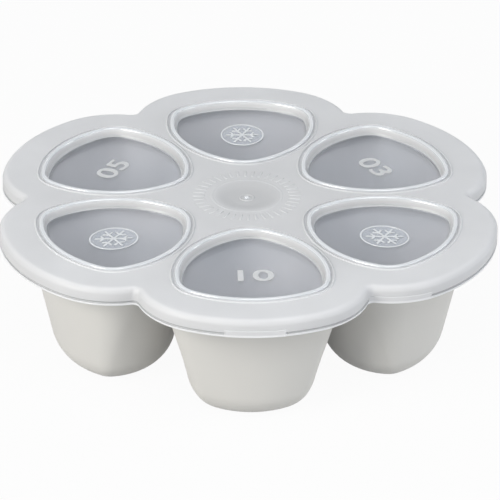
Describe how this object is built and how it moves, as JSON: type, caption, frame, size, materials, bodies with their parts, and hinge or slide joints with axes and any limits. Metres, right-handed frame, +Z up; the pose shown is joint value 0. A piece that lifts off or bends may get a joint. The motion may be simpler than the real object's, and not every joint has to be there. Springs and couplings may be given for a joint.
{
  "type": "freezer tray",
  "caption": "Flower-shaped freezer tray of deep rounded portion cups, with a translucent lid that presses on over its rim.",
  "frame": {"origin": "middle of the tray, in the plane that the cup feet stand on", "axes": "+Z up through the lid; -Y along the axis of cup 1; cups numbered anticlockwise seen from above"},
  "size_m": [0.2272, 0.24, 0.066],
  "materials": {
    "silicone": "matte moulded silicone, light warm grey",
    "frosted_lid": "translucent, finely frosted moulded plastic",
    "clear_window": "the lid's plastic, polished nearly clear"
  },
  "bodies": {
    "tray": {"tray_web": "silicone", "tray_rim": "silicone", "portion_cup_1": "silicone", "portion_cup_2": "silicone", "portion_cup_3": "silicone", "portion_cup_4": "silicone", "portion_cup_5": "silicone", "portion_cup_6": "silicone"},
    "lid": {"lid_deck": "frosted_lid", "lid_rim": "frosted_lid", "lid_window_1": "clear_window", "lid_window_2": "clear_window", "lid_window_3": "clear_window", "lid_window_4": "clear_window", "lid_window_5": "clear_window", "lid_window_6": "clear_window"}
  },
  "joints": [
    {"name": "lid_lift", "type": "slide", "parent": "tray", "child": "lid", "axis": [0, 0, 1], "range_m": [0, 0.1]}
  ]
}
